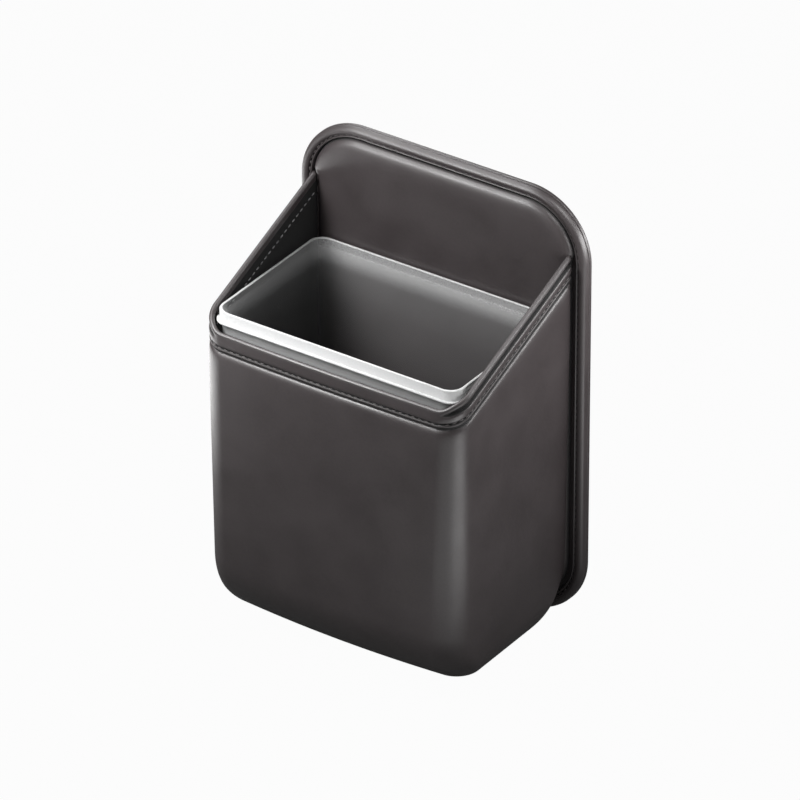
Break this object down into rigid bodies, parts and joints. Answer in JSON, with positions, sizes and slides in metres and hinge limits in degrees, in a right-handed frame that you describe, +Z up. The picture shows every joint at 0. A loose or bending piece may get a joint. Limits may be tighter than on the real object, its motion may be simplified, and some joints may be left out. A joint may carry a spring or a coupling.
{
  "type": "car trash bin",
  "caption": "Car trash bin: a padded leather-covered back with a rolled rim, a moulded pouch with slanted sides sewn to it, and a lift-out translucent bucket standing in the pouch.",
  "frame": {"origin": "on the surface that the bin stands on, under the middle of its width and depth", "axes": "+Z up, +Y towards the flat back, -Y towards the pouch's front, X across"},
  "size_m": [0.183, 0.115, 0.26],
  "materials": {
    "leather_back": "satin, fine grain",
    "leather_pouch": "satin, fine grain",
    "lining": "matt black cloth",
    "clear_plastic": "translucent, lightly frosted"
  },
  "bodies": {
    "root": {"back_panel": "leather_back", "back_rim": "leather_back", "back_cushion": "leather_back", "pouch_shell": "leather_pouch", "hem_band": "leather_pouch", "pouch_lining": "lining", "liner": "clear_plastic"}
  },
  "joints": []
}
